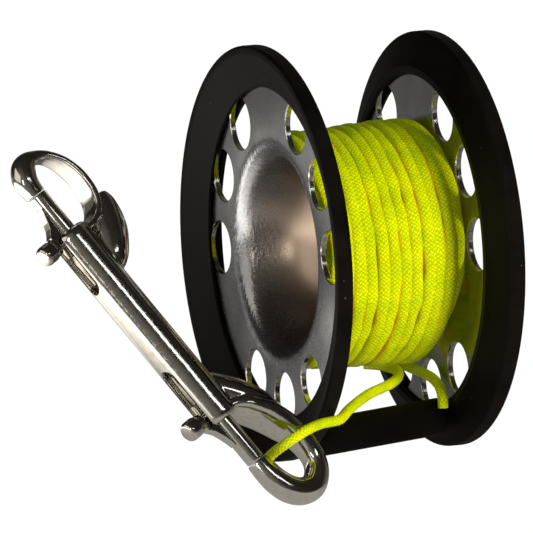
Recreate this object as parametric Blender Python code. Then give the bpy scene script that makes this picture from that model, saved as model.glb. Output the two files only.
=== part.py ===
"""Finger spool: a steel drum of two pressed dishes between two black rims, with line and a bolt snap.

The spool's axis is X and its middle is the origin while it is built. At the end everything is moved
so that the origin lies under the middle of the whole object, at the height of its lowest point.
"""

import math

import bmesh
import bpy
from mathutils import Euler, Matrix, Vector

# Shared clearances
gap = 0.0003  # between pieces that touch or run in each other
overrun = 0.002  # how far a cutter passes the wall that it cuts
weld = 0.000003  # points closer than this become one

# Rims
rim_outer_radius = 0.0475
rim_width = 0.0097  # from a rim's edge to its bore
rim_edge_width = 0.0037
rim_recess = 0.0033  # how far the outer face sinks at the bore
rim_land_width = 0.0010  # flat ring on the outer face, on which the spool lies
rim_edge_round = 0.0008
rim_bead_width = 0.0020
lip_thickness = 0.0008
outer_half_width = 0.02307  # from the spool's middle to the rim's outer face

# Dishes
sheet_thickness = 0.0014
dish_depth = 0.0043  # from the rim's outer face to the dish's flat web
dish_seat = 0.0026  # how far a dish reaches past the rim's bore, into its groove
hole_radius = 0.0060
hole_edge_width = 0.0011  # sheet between a hole and the dish's edge
hole_bowl_width = 0.0010  # sheet between a hole and the bowl's lip
hole_step = math.radians(30.0)
first_web_angle = math.radians(80.5)
web_every = 4  # one place in four stays solid

# Line on the drum
winding_diameter = 0.0021
winding_pitch = 0.00262  # rough pitch, evened out over the drum's width
winding_side_gap = 0.0006  # from the end turns to the dishes
pack_rise_left = 0.0007  # how far the pack's outside lies past the bowl's lip
pack_rise_right = 0.0019
core_inner_radius = 0.0125

# Crossbar
crossbar_radius = 0.00425
crossbar_offset = -0.0145  # towards the front, from the spool's axis
crossbar_inset_left = 0.0042  # from the rim's edge to the bar's axis
crossbar_inset_right = 0.00673
crossbar_chamfer = 0.0004

# Free line
line_diameter = 0.0024

# Bolt snap, in its own frame: Z along the barrel, X towards the hook's arm
snap_middle = Vector((-0.0613, -0.0302, -0.0093))
snap_turn = Euler((math.radians(-35.3), math.radians(-22.6), math.radians(24.4)), "XYZ")
barrel_radius = 0.0046
barrel_top = 0.0303
barrel_bottom = 0.0250
barrel_edge_round = 0.0016
slot_width = 0.0040
upper_hook_length = 0.0178  # from the barrel's mouth to the middle of the crown's rod
upper_hook_reach = 0.0113  # from the barrel's axis to the middle of the arm
upper_rod_radius = 0.0029
lower_hook_length = 0.0244
lower_hook_reach = 0.0130
lower_rod_radius = 0.0032

# Gates of the snap
bolt_radius = 0.0022
bolt_tip_round = 0.0004
bolt_tail = 0.0040  # from the stud to the bolt's inner end
gate_travel = 0.0120
spring_room = 0.0015
neck_radius = 0.0013
neck_seat = 0.0012  # how deep the neck sits in the bolt
knob_end_radius = 0.0024
knob_length = 0.0050
gusset_thickness = 0.0022  # of the web from the knob down to the bolt
upper_stud_inset = 0.0014  # from the barrel's mouth to the stud
lower_stud_inset = 0.0028

# Sizes that follow from those above
rim_inner_radius = rim_outer_radius - rim_width
dish_outer_radius = rim_inner_radius + dish_seat
hole_circle_radius = dish_outer_radius - hole_edge_width - hole_radius
bowl_lip_radius = hole_circle_radius - hole_radius - hole_bowl_width
pack_radius_left = bowl_lip_radius + pack_rise_left
pack_radius_right = bowl_lip_radius + pack_rise_right
winding_length = 2 * (outer_half_width - dish_depth - sheet_thickness - winding_side_gap) - winding_diameter
winding_turns = round(winding_length / winding_pitch)
crossbar_drop_left = math.sqrt((rim_outer_radius - crossbar_inset_left) ** 2 - crossbar_offset**2)
crossbar_drop_right = math.sqrt((rim_outer_radius - crossbar_inset_right) ** 2 - crossbar_offset**2)

# Counts
rim_sides = 60
dish_sides = 48
round_sides = 24
hole_sides = 20
section_points = 10
loop_points = 24
round_steps = 3
hook_steps = 2
route_steps = 40

# Bowl of a dish, from its lip to its bottom: share of the lip radius, share of the bowl's depth
bowl_shares = [
    (1.0, 0.0),
    (0.955, 0.012),
    (0.922, 0.055),
    (0.895, 0.13),
    (0.862, 0.24),
    (0.818, 0.38),
    (0.752, 0.53),
    (0.655, 0.68),
    (0.53, 0.81),
    (0.37, 0.915),
    (0.19, 0.98),
    (0.0, 1.0),
]

# Arm and rod of a hook from root to nose, then the lobe that carries its root: share of the length past
# the mouth, share of the reach, and shares of the rod radius for half the thickness and half the width
upper_hook_shares = [
    (-0.096, 0.0, 0.31, 1.03),
    (-0.118, 0.265, 0.31, 1.24),
    (-0.118, 0.487, 0.33, 1.28),
    (-0.073, 0.69, 0.34, 1.28),
    (0.022, 0.85, 0.34, 1.28),
    (0.163, 0.956, 0.34, 1.28),
    (0.32, 1.0, 0.34, 1.26),
    (0.489, 1.0, 0.34, 1.22),
    (0.657, 0.938, 0.33, 1.17),
    (0.753, 0.876, 0.33, 1.1),
    (0.848, 0.779, 0.34, 1.0),
    (0.927, 0.655, 0.4, 0.93),
    (0.983, 0.487, 0.52, 0.9),
    (1.0, 0.319, 0.76, 0.93),
    (0.966, 0.168, 0.95, 0.98),
    (0.893, 0.053, 1.0, 1.02),
    (0.815, -0.009, 1.0, 1.0),
    (0.725, -0.027, 0.93, 0.93),
    (0.652, -0.027, 0.88, 0.88),
    (0.596, -0.027, 0.83, 0.83),
]
upper_lobe_shares = [
    (-0.775, 0.133, 0.69, 0.86),
    (-0.635, 0.407, 1.24, 1.38),
    (-0.466, 0.628, 1.48, 1.52),
    (-0.298, 0.823, 1.52, 1.48),
    (-0.129, 1.0, 1.24, 1.31),
    (0.0, 1.133, 0.79, 1.03),
    (0.107, 1.204, 0.31, 0.62),
]
lower_hook_shares = [
    (-0.074, 0.038, 0.41, 1.12),
    (-0.049, 0.262, 0.44, 1.44),
    (0.012, 0.431, 0.53, 1.72),
    (0.107, 0.585, 0.61, 1.78),
    (0.217, 0.738, 0.69, 1.75),
    (0.369, 0.877, 0.72, 1.59),
    (0.533, 0.977, 0.75, 1.25),
    (0.697, 1.0, 0.77, 1.06),
    (0.832, 0.954, 0.78, 1.0),
    (0.934, 0.815, 0.84, 1.0),
    (1.0, 0.585, 0.94, 1.0),
    (0.971, 0.338, 1.0, 1.0),
    (0.881, 0.162, 1.02, 1.02),
    (0.758, 0.062, 0.97, 0.97),
    (0.656, 0.031, 0.92, 0.92),
    (0.574, 0.019, 0.87, 0.87),
    (0.488, 0.015, 0.8, 0.8),
]
lower_lobe_shares = [
    (-0.41, 0.154, 0.78, 0.94),
    (-0.246, 0.323, 1.12, 1.31),
    (-0.082, 0.523, 1.25, 1.56),
    (0.082, 0.708, 1.0, 1.62),
    (0.225, 0.815, 0.69, 1.44),
]
square_share = 0.4  # how far a section twice as wide as thick turns from an oval into a box

# Knob of a thumb stud, from its waist to its tip: share of the end radius, share of the knob's length
knob_shares = [
    (0.85, 0.0),
    (0.92, 0.25),
    (1.0, 0.45),
    (1.0, 0.8),
    (0.8, 0.97),
    (0.45, 1.0),
    (0.0, 1.0),
]

# Gusset from the knob to the bolt: share of the space between them, share of the knob's length
gusset_shares = [
    (0.0, 0.0),
    (1.0, 0.0),
    (1.0, 0.5),
    (0.85, 0.7),
    (0.45, 0.95),
    (0.15, 1.3),
    (0.0, 1.6),
]

# Route of the line that leads to the snap, and of the second strand, in metres from the spool's middle
lead_route = [
    (0.0050, 0.0045, -0.0290),
    (0.0088, 0.0030, -0.0294),
    (0.0107, -0.0010, -0.0298),
    (0.0092, -0.0055, -0.0303),
    (0.0046, -0.0115, -0.0304),
    (-0.0040, -0.0196, -0.0303),
    (-0.0130, -0.0302, -0.0306),
    (-0.0178, -0.0364, -0.0312),
    (-0.0208, -0.0385, -0.0311),
    (-0.0242, -0.0408, -0.0308),
    (-0.0288, -0.0452, -0.0305),
    (-0.0328, -0.0474, -0.0314),
    (-0.0360, -0.0474, -0.0332),
    (-0.0373, -0.0438, -0.0358),
    (-0.0380, -0.0417, -0.0377),
    (-0.0398, -0.0409, -0.0393),
]
strand_route = [
    (0.0124, 0.0090, -0.0283),
    (0.0142, 0.0030, -0.0296),
    (0.0150, -0.0030, -0.0298),
    (0.0151, -0.0075, -0.0297),
    (0.0152, -0.0120, -0.0299),
    (0.0150, -0.0162, -0.0309),
    (0.0146, -0.0188, -0.0327),
    (0.0145, -0.0194, -0.0351),
]


def clear_scene():
    for found in list(bpy.data.objects):
        bpy.data.objects.remove(found)


def collection(name):
    made = bpy.data.collections.new(name)
    bpy.context.scene.collection.children.link(made)
    return made


def material(name, colour, metallic, roughness):
    made = bpy.data.materials.new(name)
    made.use_nodes = True
    shader = made.node_tree.nodes["Principled BSDF"]
    shader.inputs["Base Color"].default_value = (*colour, 1.0)
    shader.inputs["Metallic"].default_value = metallic
    shader.inputs["Roughness"].default_value = roughness
    return made


def add_object(name, mesh, group, finish=None):
    made = bpy.data.objects.new(name, mesh)
    group.objects.link(made)
    if finish:
        mesh.materials.append(finish)
    return made


def smooth_path(points, steps):
    """Catmull-Rom curve through points of any width, with the given steps between two of them."""
    rows = [Vector(point) for point in points]
    ends = [rows[0] * 2 - rows[1], *rows, rows[-1] * 2 - rows[-2]]
    path = []
    for before, start, end, after in zip(ends, ends[1:], ends[2:], ends[3:]):
        for step in range(steps):
            t = step / steps
            bend = (2 * before - 5 * start + 4 * end - after) * t * t
            twist = (3 * start - before - 3 * end + after) * t * t * t
            path.append((2 * start + (end - before) * t + bend + twist) / 2)
    path.append(rows[-1])
    return path


def turned(name, outline, sides, group, finish=None):
    """Closed solid of revolution about X from an outline of (radius, place along X)."""
    mesh = bpy.data.meshes.new(name)
    shape = bmesh.new()
    corners = [shape.verts.new((along, 0.0, radius)) for radius, along in outline]
    for first, second in zip(corners, corners[1:] + corners[:1]):
        if first.co.z > gap or second.co.z > gap:
            shape.edges.new((first, second))
    bmesh.ops.spin(
        shape,
        geom=shape.verts[:] + shape.edges[:],
        cent=(0.0, 0.0, 0.0),
        axis=(1.0, 0.0, 0.0),
        angle=math.tau,
        steps=sides,
        use_merge=True,
    )
    bmesh.ops.remove_doubles(shape, verts=shape.verts, dist=weld)
    bmesh.ops.recalc_face_normals(shape, faces=shape.faces)
    shape.to_mesh(mesh)
    shape.free()
    return add_object(name, mesh, group, finish)


def rod(name, start, end, radius, sides, group, finish=None, chamfer=0.0):
    """Straight round rod from start to end, with chamfered ends where a chamfer is given."""
    start = Vector(start)
    run = Vector(end) - start
    length = run.length
    outline = [(0.0, 0.0), (radius - chamfer, 0.0)]
    if chamfer:
        outline += [(radius, chamfer), (radius, length - chamfer)]
    outline += [(radius - chamfer, length), (0.0, length)]
    made = turned(name, outline, sides, group, finish)
    turn = Vector((1.0, 0.0, 0.0)).rotation_difference(run).to_matrix().to_4x4()
    made.matrix_world = Matrix.Translation(start) @ turn
    return made


def box(name, low, high, group):
    mesh = bpy.data.meshes.new(name)
    shape = bmesh.new()
    bmesh.ops.create_cube(shape, size=1.0)
    low, high = Vector(low), Vector(high)
    size = Matrix.Diagonal((*(high - low), 1.0))
    bmesh.ops.transform(shape, matrix=Matrix.Translation((low + high) / 2) @ size, verts=shape.verts)
    shape.to_mesh(mesh)
    shape.free()
    return add_object(name, mesh, group)


def closed_mesh(name, curve, group):
    """Closed mesh of a filled or bevelled curve."""
    bent = bpy.data.objects.new(name + "_curve", curve)
    group.objects.link(bent)
    bpy.context.view_layer.update()
    mesh = bpy.data.meshes.new_from_object(bent.evaluated_get(bpy.context.evaluated_depsgraph_get()))
    bpy.data.objects.remove(bent)
    shape = bmesh.new()
    shape.from_mesh(mesh)
    bmesh.ops.remove_doubles(shape, verts=shape.verts, dist=weld)
    bmesh.ops.recalc_face_normals(shape, faces=shape.faces)
    shape.to_mesh(mesh)
    shape.free()
    mesh.name = name
    return mesh


def tube(name, points, radius, group, finish, resolution=2):
    """Closed tube along points, as a mesh object."""
    curve = bpy.data.curves.new(name, "CURVE")
    curve.dimensions = "3D"
    curve.bevel_depth = radius
    curve.bevel_resolution = resolution
    curve.use_fill_caps = True
    spline = curve.splines.new("POLY")
    spline.points.add(len(points) - 1)
    for place, point in zip(spline.points, points):
        place.co = (*point, 1.0)
    return add_object(name, closed_mesh(name, curve, group), group, finish)


def plate(name, outline, thickness, group):
    """Flat plate in the X and Z plane from its outline."""
    curve = bpy.data.curves.new(name, "CURVE")
    curve.dimensions = "2D"
    curve.fill_mode = "BOTH"
    curve.extrude = thickness / 2
    spline = curve.splines.new("POLY")
    spline.points.add(len(outline) - 1)
    spline.use_cyclic_u = True
    for place, point in zip(spline.points, outline):
        place.co = (*point, 0.0, 1.0)
    mesh = closed_mesh(name, curve, group)
    mesh.transform(Matrix.Rotation(math.radians(90.0), 4, "X"))
    return add_object(name, mesh, group)


def combine(target, tool, operation):
    """Boolean of target with tool, which is kept hidden as a wire."""
    step = target.modifiers.new(tool.name, "BOOLEAN")
    step.operation = operation
    step.solver = "EXACT"
    step.object = tool
    tool.hide_render = True
    tool.display_type = "WIRE"


def arc(middle_radius, middle_along, radius, start, end, steps):
    """Points of (radius, along) on a round corner, with angles in degrees from the radial direction."""
    points = []
    for step in range(steps + 1):
        angle = math.radians(start + (end - start) * step / steps)
        points.append((middle_radius + radius * math.cos(angle), middle_along + radius * math.sin(angle)))
    return points


def groove_back_depth():
    """Depth from a rim's outer face to the inner wall of its groove."""
    return dish_depth + sheet_thickness + gap


def rim_outline():
    """Section of a rim as (radius, depth from its outer face)."""
    groove_front = dish_depth - gap
    groove_back = groove_back_depth()
    groove_radius = dish_outer_radius + gap
    back = groove_back + lip_thickness
    edge = rim_outer_radius - rim_edge_round
    outline = [(rim_inner_radius, rim_recess), (edge - rim_land_width, 0.0)]
    outline += arc(edge, rim_edge_round, rim_edge_round, -90, 0, round_steps)
    outline += arc(edge, rim_edge_width - rim_edge_round, rim_edge_round, 0, 90, round_steps)
    outline += [
        (groove_radius + lip_thickness, groove_back),
        (rim_inner_radius + rim_bead_width, back),
        (rim_inner_radius + lip_thickness, back),
        (rim_inner_radius, groove_back + lip_thickness / 2),
        (rim_inner_radius, groove_back),
        (groove_radius, groove_back),
        (groove_radius, groove_front),
        (rim_inner_radius, groove_front),
    ]
    return outline


def mirrored(outline, side):
    """Outline of (radius, depth) placed on the left (-1) or right (1) side of the spool."""
    return [(radius, side * (outer_half_width - depth)) for radius, depth in outline]


def dish_middle():
    """Middle line of a dish's sheet as (radius, depth), from its edge to the bottom of the bowl."""
    flat = dish_depth + sheet_thickness / 2
    bottom = outer_half_width - gap / 2 - sheet_thickness / 2
    line = [Vector((dish_outer_radius, flat))]
    for radius_share, depth_share in bowl_shares:
        line.append(Vector((radius_share * bowl_lip_radius, flat + depth_share * (bottom - flat))))
    return line


def offset_line(line, distance):
    """Line moved sideways by distance, towards greater depth on the flat web."""
    moved = []
    for index, point in enumerate(line):
        before = line[max(index - 1, 0)]
        after = line[min(index + 1, len(line) - 1)]
        run = (after - before).normalized()
        if index == len(line) - 1:
            run = Vector((-1.0, 0.0))
        moved.append(point + Vector((run.y, -run.x)) * distance)
    return moved


def dish(side, group, cutters, finish):
    name = "dish_left" if side < 0 else "dish_right"
    line = dish_middle()
    front = [tuple(point) for point in offset_line(line, -sheet_thickness / 2)]
    back = [tuple(point) for point in offset_line(line, sheet_thickness / 2)]
    made = turned(name, mirrored(front + back[::-1], side), dish_sides, group, finish)
    web = side * (outer_half_width - dish_depth - sheet_thickness / 2)
    for place in range(round(math.tau / hole_step)):
        if place % web_every == 0:
            continue
        angle = first_web_angle + place * hole_step
        y, z = hole_circle_radius * math.cos(angle), hole_circle_radius * math.sin(angle)
        start, end = (web - overrun, y, z), (web + overrun, y, z)
        cutter = rod(f"{name}_hole_{place}", start, end, hole_radius, hole_sides, cutters)
        combine(made, cutter, "DIFFERENCE")
    return made


def pack_radius(along):
    """Outer radius of the line pack at a place along X."""
    half = winding_length * (winding_turns - 1) / winding_turns / 2
    share = (along + half) / (2 * half)
    return pack_radius_left + (pack_radius_right - pack_radius_left) * share


def line_core(group, finish):
    """Inner layers of line, filling the valley between the two bowls."""
    back = offset_line(dish_middle(), sheet_thickness / 2 + gap)
    web_back = dish_depth + sheet_thickness + gap
    sides = []
    for side in (-1, 1):
        top = pack_radius(side * winding_length / 2) - winding_diameter - gap
        bowl = [(r, d) for r, d in back if core_inner_radius < r < top - gap]
        valley = [(r, side * (outer_half_width - d)) for r, d in bowl if d > web_back]
        sides.append([(top, valley[0][1]), *valley])
    return turned("line_core", sides[0] + sides[1][::-1], dish_sides, group, finish)


def winding_points():
    """Helix of the outer layer, with a straight run of one diameter at each end."""
    total = winding_turns * loop_points
    points = []
    for step in range(total + 1):
        along = winding_length * (step / total - 1 / 2)
        radius = pack_radius(along) - winding_diameter / 2
        angle = -math.pi / 2 + math.tau * step / loop_points
        points.append(Vector((along, radius * math.cos(angle), radius * math.sin(angle))))
    first = (points[0] - points[1]).normalized() * winding_diameter
    last = (points[-1] - points[-2]).normalized() * winding_diameter
    return [points[0] + first, *points, points[-1] + last]


def least_gap(points, diameter):
    """Least distance between the surfaces of neighbouring turns of a wound tube."""
    least = math.inf
    for index, point in enumerate(points):
        for other in points[index + loop_points // 2 :]:
            least = min(least, (point - other).length - diameter)
    return least


def hook_rod(name, shares, mouth, way, length, reach, radius, group):
    """Closed rod in the plane of a hook, with an oval section that is squarer where it is wide."""
    path = smooth_path(shares, hook_steps)
    places = [Vector((out * reach, 0.0, way * (mouth + along * length))) for along, out, _, _ in path]
    shape = bmesh.new()
    ring = bmesh.ops.create_circle(shape, segments=section_points, radius=1.0)["verts"]
    angles = [math.atan2(vertex.co.y, vertex.co.x) for vertex in ring]
    edges = shape.edges[:]
    for index, (_, _, thick, wide) in enumerate(path):
        if index:
            grown = bmesh.ops.extrude_edge_only(shape, edges=edges)["geom"]
            ring = [item for item in grown if isinstance(item, bmesh.types.BMVert)]
            edges = [item for item in grown if isinstance(item, bmesh.types.BMEdge)]
            edges = [edge for edge in edges if all(vertex in ring for vertex in edge.verts)]
        run = places[min(index + 1, len(places) - 1)] - places[max(index - 1, 0)]
        outwards = Vector((run.z, 0.0, -run.x)).normalized() * way
        power = 1 - square_share * min(max(wide / thick - 1, 0), 1)
        for vertex, angle in zip(ring, angles):
            across = math.copysign(abs(math.cos(angle)) ** power, math.cos(angle)) * thick * radius
            deep = math.copysign(abs(math.sin(angle)) ** power, math.sin(angle)) * wide * radius
            vertex.co = places[index] + outwards * across + Vector((0.0, deep, 0.0))
    bmesh.ops.holes_fill(shape, edges=shape.edges)
    bmesh.ops.recalc_face_normals(shape, faces=shape.faces)
    mesh = bpy.data.meshes.new(name)
    shape.to_mesh(mesh)
    shape.free()
    return add_object(name, mesh, group)


def snap_matrix():
    return Matrix.Translation(snap_middle) @ snap_turn.to_matrix().to_4x4()


def snap_gates():
    """Place of each gate along the barrel: name, direction, mouth, stud and nose, all from the middle."""
    upper_nose = barrel_top + upper_hook_shares[-1][0] * upper_hook_length
    lower_nose = barrel_bottom + lower_hook_shares[-1][0] * lower_hook_length
    return [
        ("upper", 1, barrel_top, barrel_top - upper_stud_inset, upper_nose),
        ("lower", -1, barrel_bottom, barrel_bottom - lower_stud_inset, lower_nose),
    ]


def place_in_snap(objects):
    for made in objects:
        made.matrix_world = snap_matrix() @ made.matrix_world


def snap_body(group, cutters, finish):
    """Barrel and both hooks as one casting, with a bore and a slot for each gate."""
    start, end = (0.0, 0.0, -barrel_bottom), (0.0, 0.0, barrel_top)
    body = rod("snap_body", start, end, barrel_radius, round_sides, group, finish, barrel_edge_round)
    tools = []
    upper = (barrel_top, 1, upper_hook_length, upper_hook_reach, upper_rod_radius)
    lower = (barrel_bottom, -1, lower_hook_length, lower_hook_reach, lower_rod_radius)
    forms = [
        ("upper_hook", upper_hook_shares, upper),
        ("upper_lobe", upper_lobe_shares, upper),
        ("lower_hook", lower_hook_shares, lower),
        ("lower_lobe", lower_lobe_shares, lower),
    ]
    for name, shares, sizes in forms:
        form = hook_rod(name, shares, *sizes, cutters)
        combine(body, form, "UNION")
        tools.append(form)
    for name, way, mouth, stud, nose in snap_gates():
        deep = stud - bolt_tail - gate_travel - spring_room
        bore = rod(
            f"bore_{name}",
            (0.0, 0.0, way * deep),
            (0.0, 0.0, way * (mouth + overrun)),
            bolt_radius + gap,
            round_sides,
            cutters,
        )
        slot_end = stud - gate_travel - neck_radius - gap
        ends = sorted((way * slot_end, way * (mouth + overrun)))
        slot = box(
            f"slot_{name}",
            (-barrel_radius - overrun, -slot_width / 2, ends[0]),
            (-bolt_radius / 2, slot_width / 2, ends[1]),
            cutters,
        )
        for tool in (slot, bore):
            combine(body, tool, "DIFFERENCE")
            tools.append(tool)
    place_in_snap([body, *tools])
    return body


def snap_gate(name, way, mouth, stud, nose, group, cutters, steel):
    """Sliding bolt of one hook and the thumb stud that moves it, with their origins on the barrel's axis."""
    tail = way * (stud - bolt_tail)
    tip = way * (nose - gap)
    bolt = rod(
        f"gate_bolt_{name}",
        (0.0, 0.0, tail),
        (0.0, 0.0, tip),
        bolt_radius,
        round_sides,
        group,
        steel,
        bolt_tip_round,
    )
    seat_end = -bolt_radius + neck_seat
    seat = rod(
        f"stud_seat_{name}",
        (-bolt_radius - overrun, 0.0, way * stud),
        (seat_end, 0.0, way * stud),
        neck_radius + gap,
        round_sides,
        cutters,
    )
    combine(bolt, seat, "DIFFERENCE")
    head = barrel_radius + gap
    inner = -seat_end + gap
    outline = [(0.0, -inner), (neck_radius, -inner), (neck_radius, -head)]
    outline += [(radius * knob_end_radius, -head - along * knob_length) for radius, along in knob_shares]
    knob = turned(f"thumb_stud_{name}", outline, round_sides, group, steel)
    foot = bolt_radius + gap
    side = [(-foot - up * (head - foot), way * along * knob_length) for up, along in gusset_shares]
    gusset = plate(f"gusset_{name}", side, gusset_thickness, cutters)
    combine(knob, gusset, "UNION")
    for made in (knob, gusset):
        made.matrix_world = Matrix.Translation((0.0, 0.0, way * stud))
    place_in_snap([bolt, seat, knob, gusset])


def resampled(route, spacing):
    """Points along a smooth curve through the route, one every given spacing."""
    fine = smooth_path(route, route_steps)
    lengths = [0.0]
    for first, second in zip(fine, fine[1:]):
        lengths.append(lengths[-1] + (second - first).length)
    count = round(lengths[-1] / spacing)
    points = []
    at = 0
    for index in range(count + 1):
        target = lengths[-1] * index / count
        while at < len(fine) - 2 and lengths[at + 1] < target:
            at += 1
        share = (target - lengths[at]) / (lengths[at + 1] - lengths[at])
        points.append(fine[at].lerp(fine[at + 1], min(max(share, 0.0), 1.0)))
    return points, lengths[-1]


def crossbar(group, finish):
    """Round bar that joins the two rims low at the front."""
    lean = math.atan2(crossbar_drop_left - crossbar_drop_right, 2 * outer_half_width)
    back = groove_back_depth() + lip_thickness
    half = outer_half_width - back - gap - crossbar_radius * math.sin(lean)
    start = (-half, crossbar_offset, -crossbar_drop_left)
    end = (half, crossbar_offset, -crossbar_drop_right)
    return rod("crossbar", start, end, crossbar_radius, round_sides, group, finish, crossbar_chamfer)


def settle(group, cutters, cords):
    """Move everything so that the origin is under the middle of the object without its free line."""
    bpy.context.view_layer.update()
    graph = bpy.context.evaluated_depsgraph_get()
    low, high = Vector((math.inf,) * 3), Vector((-math.inf,) * 3)
    for made in group.objects:
        if made in cords:
            continue
        mesh = made.evaluated_get(graph).to_mesh()
        for vertex in mesh.vertices:
            place = made.matrix_world @ vertex.co
            low = Vector(map(min, low, place))
            high = Vector(map(max, high, place))
    shift = -Vector(((low.x + high.x) / 2, (low.y + high.y) / 2, low.z))
    for made in [*group.objects, *cutters.objects]:
        made.matrix_world = Matrix.Translation(shift) @ made.matrix_world
    print("size in metres", [round(value, 5) for value in high - low])
    return shift


def print_places(shift):
    """Places that the record needs, in the finished frame."""
    print("drum axis point", [round(value, 6) for value in shift])
    axis = snap_turn.to_matrix() @ Vector((0.0, 0.0, 1.0))
    side = snap_turn.to_matrix() @ Vector((1.0, 0.0, 0.0))
    print("barrel axis", [round(value, 6) for value in axis], "arm side", [round(value, 6) for value in side])
    for name, way, _, stud, _ in snap_gates():
        place = shift + snap_middle + axis * (way * stud)
        print("gate", name, [round(value, 6) for value in place], "travel", gate_travel)


def main():
    clear_scene()
    parts = collection("finger_spool")
    cutters = collection("cutters")
    rubber = [material(f"black_rim_{side}", (0.012, 0.011, 0.010), 0.0, 0.45) for side in ("left", "right")]
    for side, finish in zip((-1, 1), rubber):
        name = "rim_left" if side < 0 else "rim_right"
        turned(name, mirrored(rim_outline(), side), rim_sides, parts, finish)
    crossbar(parts, material("black_bar", (0.014, 0.013, 0.011), 0.0, 0.4))
    for side in (-1, 1):
        dish(side, parts, cutters, material(f"pressed_steel_{side}", (0.55, 0.54, 0.52), 1.0, 0.32))
    line_core(parts, material("inner_line", (0.55, 0.62, 0.02), 0.0, 0.7))
    winding = winding_points()
    print("least gap in the winding, mm", round(least_gap(winding, winding_diameter) * 1000, 3))
    yellow = (0.62, 0.75, 0.0)
    wound = material("wound_line", yellow, 0.0, 0.6)
    tube("line_winding", winding, winding_diameter / 2, parts, wound, resolution=1)
    cords = []
    for name, route in (("line_lead", lead_route), ("line_strand", strand_route)):
        points, length = resampled(route, 2 * line_diameter)
        print(name, "length in metres", round(length, 4))
        cords.append(tube(name, points, line_diameter / 2, parts, material(name, yellow, 0.0, 0.6)))
    snap_body(parts, cutters, material("cast_steel", (0.6, 0.59, 0.57), 1.0, 0.18))
    for gate in snap_gates():
        snap_gate(*gate, parts, cutters, material(f"gate_steel_{gate[0]}", (0.62, 0.61, 0.6), 1.0, 0.2))
    print_places(settle(parts, cutters, cords))


main()
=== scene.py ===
"""Finger spool dressed for rendering: steel drum, black rims, wound line and a double bolt snap."""

import logging
import math
from dataclasses import dataclass, field
from enum import Enum
from typing import Callable, Sequence

import bmesh
import bpy
from mathutils import Euler, Matrix, Vector, noise

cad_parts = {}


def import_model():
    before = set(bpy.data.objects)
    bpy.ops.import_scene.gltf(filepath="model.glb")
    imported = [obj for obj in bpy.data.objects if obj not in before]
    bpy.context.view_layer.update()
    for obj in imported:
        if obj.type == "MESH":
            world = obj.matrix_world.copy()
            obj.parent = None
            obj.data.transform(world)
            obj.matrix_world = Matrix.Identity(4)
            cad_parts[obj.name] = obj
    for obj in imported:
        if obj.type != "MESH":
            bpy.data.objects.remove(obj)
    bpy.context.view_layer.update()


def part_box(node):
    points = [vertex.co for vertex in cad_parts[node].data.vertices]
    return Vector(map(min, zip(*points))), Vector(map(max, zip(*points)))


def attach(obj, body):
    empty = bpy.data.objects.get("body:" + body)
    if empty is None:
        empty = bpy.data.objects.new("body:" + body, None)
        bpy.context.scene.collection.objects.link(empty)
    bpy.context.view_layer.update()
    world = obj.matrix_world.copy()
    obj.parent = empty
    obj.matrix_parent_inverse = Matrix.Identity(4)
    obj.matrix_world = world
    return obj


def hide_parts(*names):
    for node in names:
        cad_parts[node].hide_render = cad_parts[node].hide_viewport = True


log = logging.getLogger("finger_spool")

Point = tuple[float, float, float]
Outline = list[tuple[float, float]]

MM = 0.001
ON_AXIS = 1e-6  # a point nearer the axis than this, in metres, lies on it
WELD = 1e-7  # points closer than this become one
SHARP = 35.0  # angle in degrees past which an edge is sharp


class Body(Enum):
    """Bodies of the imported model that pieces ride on."""

    FRAME = "frame"
    DRUM = "drum"
    UPPER_GATE = "upper_gate"
    LOWER_GATE = "lower_gate"


class Side(Enum):
    """Side of the spool, as the sign of X."""

    LEFT = -1
    RIGHT = 1


# Nodes and meshes


def linear(colour: str) -> tuple[float, float, float, float]:
    """Linear colour of an sRGB hex value.

    Args:
        colour: Six hex digits, with or without a leading hash.

    Returns:
        Red, green, blue and an alpha of one.
    """
    digits = colour.lstrip("#")
    parts = [int(digits[i : i + 2], 16) / 255 for i in (0, 2, 4)]
    red, green, blue = [c / 12.92 if c <= 0.04045 else ((c + 0.055) / 1.055) ** 2.4 for c in parts]
    return red, green, blue, 1.0


class Nodes:
    """Node tree of a material or of the world."""

    def __init__(self, owner: bpy.types.Material | bpy.types.World) -> None:
        """Turns the nodes on.

        Args:
            owner: Material or world that the tree belongs to.
        """
        owner.use_nodes = True
        self.owner = owner
        self.tree = owner.node_tree
        self.coordinates = self.tree.nodes.new("ShaderNodeTexCoord").outputs
        self.place = self.coordinates["Object"]

    def feed(self, node: bpy.types.Node, inputs: dict | tuple) -> None:
        """Links or fills a node's inputs.

        Args:
            node: Node that gets them.
            inputs: Value or output for each input, by name or in order.
        """
        for socket, value in inputs.items() if isinstance(inputs, dict) else enumerate(inputs):
            if isinstance(value, bpy.types.NodeSocket):
                self.tree.links.new(value, node.inputs[socket])
            else:
                node.inputs[socket].default_value = value

    def add(
        self,
        kind: str,
        inputs: dict | tuple = (),
        output: int | str = 0,
        stops: Sequence[tuple[float, str]] = (),
        **settings: object,
    ) -> bpy.types.NodeSocket:
        """Adds a node with its settings and links.

        Args:
            kind: Blender's name for the node's type, after ShaderNode.
            inputs: Value or output for each input, by name or in order.
            output: Output that is wanted.
            stops: Position and hex colour of each stop of a colour ramp.
            settings: Properties of the node.

        Returns:
            The node's output.
        """
        node = self.tree.nodes.new("ShaderNode" + kind)
        for name, value in settings.items():
            setattr(node, name, value)
        for index, (place, colour) in enumerate(stops):
            ends = node.color_ramp.elements
            element = ends[index] if index < len(ends) else ends.new(place)
            element.position, element.color = place, linear(colour)
        self.feed(node, inputs)
        return node.outputs[output]

    def finish(self, inputs: dict) -> bpy.types.Material:
        """Fills the shader's inputs, given by name, and returns the material."""
        self.feed(self.tree.nodes["Principled BSDF"], inputs)
        return self.owner


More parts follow.
